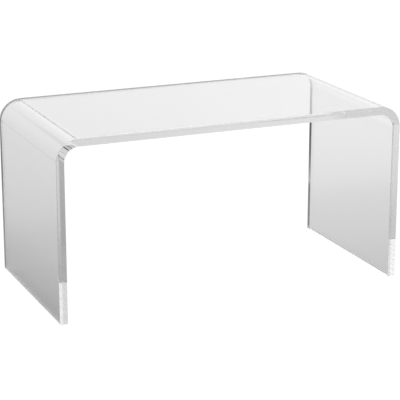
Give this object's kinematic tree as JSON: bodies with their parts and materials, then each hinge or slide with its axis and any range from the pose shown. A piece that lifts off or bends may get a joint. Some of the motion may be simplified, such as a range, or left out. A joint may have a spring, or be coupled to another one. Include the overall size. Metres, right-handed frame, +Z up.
{
  "type": "waterfall coffee table",
  "caption": "Low clear table bent from a single thick acrylic sheet: a flat top that turns down through rounded bends into slab legs.",
  "frame": {"origin": "on the floor, under the middle of the tabletop", "axes": "+Z up, +X along the length of the tabletop, -Y towards the front; the table is the same from front and back"},
  "size_m": [0.914, 0.457, 0.457],
  "materials": {
    "clear_acrylic": "clear, polished on its faces and edges",
    "clear_bumper": "clear, slightly hazy",
    "adhesive_film": "clear film"
  },
  "bodies": {
    "root": {"acrylic_sheet": "clear_acrylic", "left_front_bumper": "clear_bumper", "left_back_bumper": "clear_bumper", "right_front_bumper": "clear_bumper", "right_back_bumper": "clear_bumper", "left_front_adhesive": "adhesive_film", "left_back_adhesive": "adhesive_film", "right_front_adhesive": "adhesive_film", "right_back_adhesive": "adhesive_film"}
  },
  "joints": []
}
